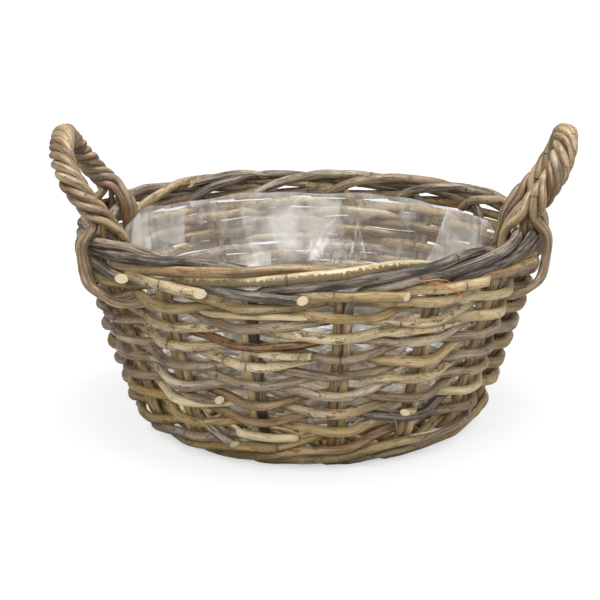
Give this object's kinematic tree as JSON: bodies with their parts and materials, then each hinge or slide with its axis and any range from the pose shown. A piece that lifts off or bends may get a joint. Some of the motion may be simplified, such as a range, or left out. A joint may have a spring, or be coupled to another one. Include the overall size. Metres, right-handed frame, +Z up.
{
  "type": "woven rattan planter",
  "caption": "Round woven rattan planter basket with an outward-leaning open-weave wall, a rolled rim, a waled foot, two roped arch handles and a clear film liner.",
  "frame": {"origin": "centre of the foot on the plane that the basket stands on", "axes": "+Z up along the basket's axis, +X towards one handle (the other is at -X)"},
  "size_m": [0.3555, 0.3255, 0.2095],
  "materials": {
    "weaver_rattan": "satin",
    "stake_rattan": "satin",
    "wale_rattan": "satin",
    "base_rattan": "matte",
    "handle_rattan": "satin",
    "clear_film": "gloss"
  },
  "bodies": {
    "root": {"base_binding": "base_rattan", "base_weaver_1": "base_rattan", "base_weaver_2": "base_rattan", "base_weaver_3": "base_rattan", "base_weaver_4": "base_rattan", "base_weaver_5": "base_rattan", "base_weaver_6": "base_rattan", "film_liner": "clear_film", "foot_wale_1": "wale_rattan", "foot_wale_2": "wale_rattan", "foot_wale_3": "wale_rattan", "foot_wale_4": "wale_rattan", "left_handle_bow": "handle_rattan", "left_handle_wrap_1": "handle_rattan", "left_handle_wrap_2": "handle_rattan", "left_handle_wrap_3": "handle_rattan", "left_handle_wrap_4": "handle_rattan", "left_handle_wrap_5": "handle_rattan", "right_handle_bow": "handle_rattan", "right_handle_wrap_1": "handle_rattan", "right_handle_wrap_2": "handle_rattan", "right_handle_wrap_3": "handle_rattan", "right_handle_wrap_4": "handle_rattan", "right_handle_wrap_5": "handle_rattan", "stake_rod_01": "stake_rattan", "stake_rod_02": "stake_rattan", "stake_rod_03": "stake_rattan", "stake_rod_04": "stake_rattan", "stake_rod_05": "stake_rattan", "stake_rod_06": "stake_rattan", "stake_rod_07": "stake_rattan", "stake_rod_08": "stake_rattan", "stake_rod_09": "stake_rattan", "stake_rod_10": "stake_rattan", "stake_rod_11": "stake_rattan", "stake_rod_12": "stake_rattan", "stake_rod_13": "stake_rattan", "stake_rod_14": "stake_rattan", "stake_rod_15": "stake_rattan", "stake_rod_16": "stake_rattan", "weaver_row_01": "weaver_rattan", "weaver_row_02": "weaver_rattan", "weaver_row_03": "weaver_rattan", "weaver_row_04": "weaver_rattan", "weaver_row_05": "weaver_rattan", "weaver_row_06": "weaver_rattan", "weaver_row_07": "weaver_rattan", "weaver_row_08": "weaver_rattan", "weaver_row_09": "weaver_rattan", "weaver_row_10": "weaver_rattan", "weaver_row_11": "weaver_rattan", "weaver_row_12": "weaver_rattan", "weaver_row_13": "weaver_rattan", "weaver_row_14": "weaver_rattan"}
  },
  "joints": []
}
